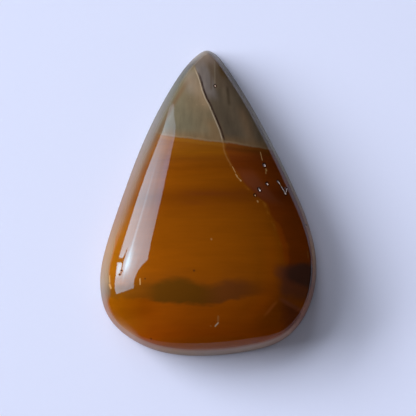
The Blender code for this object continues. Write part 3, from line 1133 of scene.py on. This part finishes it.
def dark_blob(p, colour):
    """The dark patch on the right of the butt, with a lilac-brown hem and a pale wedge under it."""
    waves = p.noise(**BLOB_WAVES)
    p.at["blob_x"] = p.plus(p.at["x"], waves)
    p.at["blob_y"] = p.plus(p.at["y"], waves)
    p.at["hem_x"] = p.plus(p.at["blob_x"], p.rise(p.at["y"], *HEM_STEP))
    across = p.times(p.minus(p.at["blob_x"], BLOB_MIDDLE[0]), BLOB_SHRINKS[0])
    up = p.minus(p.plus(p.at["y"], p.times(waves, BLOB_WAVES_UP)), BLOB_MIDDLE[1])
    up = p.times(up, BLOB_SHRINKS[1])
    p.at["from_blob"] = p.math("POWER", p.plus(p.times(across, across), p.times(up, up)), 0.5)
    p.at["slope"] = p.plus(p.at["y"], p.times(p.minus(p.at["x"], WEDGE_X), WEDGE_SLOPE))
    return p.lay(BLOB_PATCHES, colour)


def cap_left(p):
    """Olive grey, warmer towards the fracture and paler towards the tip."""
    p.at["past_drifting"] = p.plus(p.at["past"], p.noise(**CAP_DRIFT))
    p.at["grains"] = p.noise(**CAP_GRAINS)
    return p.lay(CAP_LEFT, CAP_OLIVE)


def cap_right(p):
    """Dark brown grey, partly painted shade from the fracture, with upright veins, lilac towards the tip."""
    sway = p.noise(**CAP_SWAY)
    p.at["y_swaying"] = p.plus(p.at["y"], sway)
    p.at["past_swaying"] = p.plus(p.at["past"], p.times(sway, CAP_SWAY_ACROSS))
    return p.lay(CAP_RIGHT, CAP_DARK)


def cap_stone(p):
    """The grey stone of the cap, with upright streaks, rusty just above its border."""
    stone = p.mix(p.rise(p.at["past"], *FRACTURE_EDGE), cap_left(p), cap_right(p))
    streaks = p.plus(p.noise(**CAP_STREAKS), p.noise(**CAP_CLOUDS), 1.0)
    return p.bright(p.lay(CAP_PATCHES, stone), streaks)


def cap_border(p):
    """The y of the cap's border. It is lower to the right and up the dome, and bends up at the far left."""
    bend = p.highest(p.minus(CAP_BEND_FROM, p.at["x"]), 0.0)
    slant = p.plus(p.times(p.at["x"], CAP_SLANT_X), p.times(p.at["z"], CAP_SLANT_Z))
    return p.plus(slant, p.times(bend, bend, CAP_BEND), CAP_BORDER_Y)


def grey_cap(p, colour):
    """The cap above its border, which a thin pale line marks."""
    waves = p.plus(p.noise(**CAP_WAVES), p.noise(**CAP_RIPPLES))
    p.at["over"] = p.plus(p.minus(p.at["y"], cap_border(p)), waves)
    colour = p.lay(UNDER_CAP, colour)
    colour = p.mix(p.rise(p.at["over"], *CAP_EDGE), colour, cap_stone(p))
    return p.lay(CAP_BORDER, colour)


def fracture_lines(p, colour):
    """A cream line, partly a painted highlight on the crack's lip, with a dark one beside it, the open crack
    and its painted shadow, along the fracture, fading down the seam.
    """
    p.at["breaks"] = p.noise(**FRACTURE_BREAKS)
    p.at["seam_breaks"] = p.noise(**SEAM_BREAKS)
    return p.lay(FRACTURE_PATCHES, colour)


def dark_specks(p, colour):
    for x, y, reach in SPECKS:
        spot = (("x", "near", x, reach), ("y", "near", y, reach))
        colour = p.mix(p.share(spot, SPECK_SHARE), colour, NEARLY_BLACK)
    return colour


def rind_reach(p):
    """How much of the side's stone and its painted reflection shows. It reaches further up on the left, most
    of all past the middle.
    """
    left = p.share((ON_LEFT,))
    raised = p.plus(*[p.between(p.at["y"], *stretch) for stretch in NARROW_RAISES])
    narrow = p.rise(p.minus(p.at["height"], p.times(raised, left, NARROW_RAISED)), *RIND_NARROW)
    broad = p.rise(p.plus(p.at["height_wavy"], p.rise(p.at["y"], *BROAD_LOWER)), *RIND_BROAD)
    where_broad = p.share((BROAD_FROM, ON_LEFT))
    return p.plus(p.times(narrow, p.minus(1.0, where_broad)), p.times(broad, where_broad))


def rind(p, colour):
    """The side's duller stone with painted reflection and glow on it, up to the shoulder, with its own
    colours along the butt.
    """
    drifting = p.plus(p.at["y"], p.noise(**RIND_DRIFT))
    p.at["height_wavy"] = p.plus(p.at["height"], p.noise(**RIND_WAVES))
    sides = p.mix(p.share((ON_RIGHT,)), p.ramp(drifting, RIND_LEFT), p.ramp(drifting, RIND_RIGHT))
    butt = p.share((ON_BUTT,))
    colour = p.mix(p.times(rind_reach(p), p.minus(1.0, butt)), colour, sides)
    colour = p.lay(RIND_PATCHES, colour)
    corner = p.rise(p.at["x"], *FOOT_CORNER)
    foot = p.rise(p.minus(p.at["height_wavy"], corner), *FOOT_REACH)
    return p.mix(p.times(foot, butt), colour, p.ramp(p.at["x"], RIND_BUTT))


def flaws(p, colour):
    """Painted shade in the pits, and the pale flecks and painted glints, the palest with painted shadow
    beside them.
    """
    colour = p.lay(FLAW_PATCHES, colour)
    pale = p.mix(p.rise(p.at["fleck"], *FLECK_WHITENS), FLECK_GOLD, FLECK_WHITE)
    return p.mix(p.rise(p.at["fleck"], *FLECK_SHOWS), colour, pale)


def shoulder_drop(p):
    """How much lower the shoulder is than at the butt."""
    up_nose = p.scaled(p.highest(p.at["y"], NOSE_FROM), NOSE_FROM, LENGTH / 2, 0.0, 1.0)
    return p.times(up_nose, up_nose, SIDE_TOP - TIP_SIDE_TOP)


def stone_colour(p):
    """The whole pattern, from the amber that runs through the stone to what lies on its skin."""
    line = [(y, x) for x, y in FRACTURE + SEAM]
    p.at["past"] = p.times(p.minus(p.at["x"], p.read_off(p.at["y"], line)), ACROSS_FRACTURE)
    colour = amber_layers(p)
    for layer in (lens, right_side, dark_blob, grey_cap, fracture_lines, dark_specks, rind, flaws):
        colour = layer(p, colour)
    return colour


def roughness(p):
    rough = p.plus(p.noise(**POLISH_WAVES), POLISH)
    return p.highest(rough, *[p.share((limit,), most) for limit, most in ROUGHER])


def gloss(p):
    butt = p.rise(p.at["y"], *DULL_EDGE_BUTT)
    left_or_butt = p.highest(p.rise(p.at["x"], *DULL_EDGE_LEFT), butt)
    p.at["edge_height"] = p.minus(p.at["height"], p.times(butt, DULL_EDGE_RAISED))
    edge = p.times(p.share((DULL_EDGE,)), left_or_butt, DULL_EDGE_SHARE)
    dull = p.highest(p.share((ON_SIDE,)), edge, p.share((IN_PITS,)))
    return p.scaled(dull, 0.0, 1.0, GLOSS, DULL_GLOSS)


def ground_back(p):
    """The finely ground back, as a bump."""
    bump = p.node("Bump")
    p.put(bump.inputs["Strength"], GRINDING_STRENGTH)
    p.put(bump.inputs["Distance"], GRINDING_DEPTH * MM)
    p.put(bump.inputs["Height"], p.times(p.noise(**GRINDING), p.share((ON_BACK,))))
    return bump.outputs[0]


def stone_material():
    """Polished jasper, with a satin, finely ground back."""
    material = bpy.data.materials.new("jasper")
    material.use_nodes = True
    shader = material.node_tree.nodes["Principled BSDF"]
    shader.inputs["IOR"].default_value = JASPER_IOR
    p = Pattern(material.node_tree, MM)
    p.at["height"] = p.plus(p.at["z"], shoulder_drop(p))
    p.at["pit"] = p.node("Attribute", attribute_name=PIT_MARK).outputs["Fac"]
    p.at["fleck"] = p.node("Attribute", attribute_name=FLECK_MARK).outputs["Fac"]
    p.put(shader.inputs["Base Color"], stone_colour(p))
    p.put(shader.inputs["Roughness"], roughness(p))
    p.put(shader.inputs["Specular IOR Level"], gloss(p))
    p.put(shader.inputs["Normal"], ground_back(p))
    return material


stone = make_stone()
stone.data.materials.append(stone_material())
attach(stone, "root")
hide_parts(NODE)
make_camera()
make_daylight()
make_window()
make_world()
make_floor()
bpy.context.scene.view_settings.view_transform = "Standard"
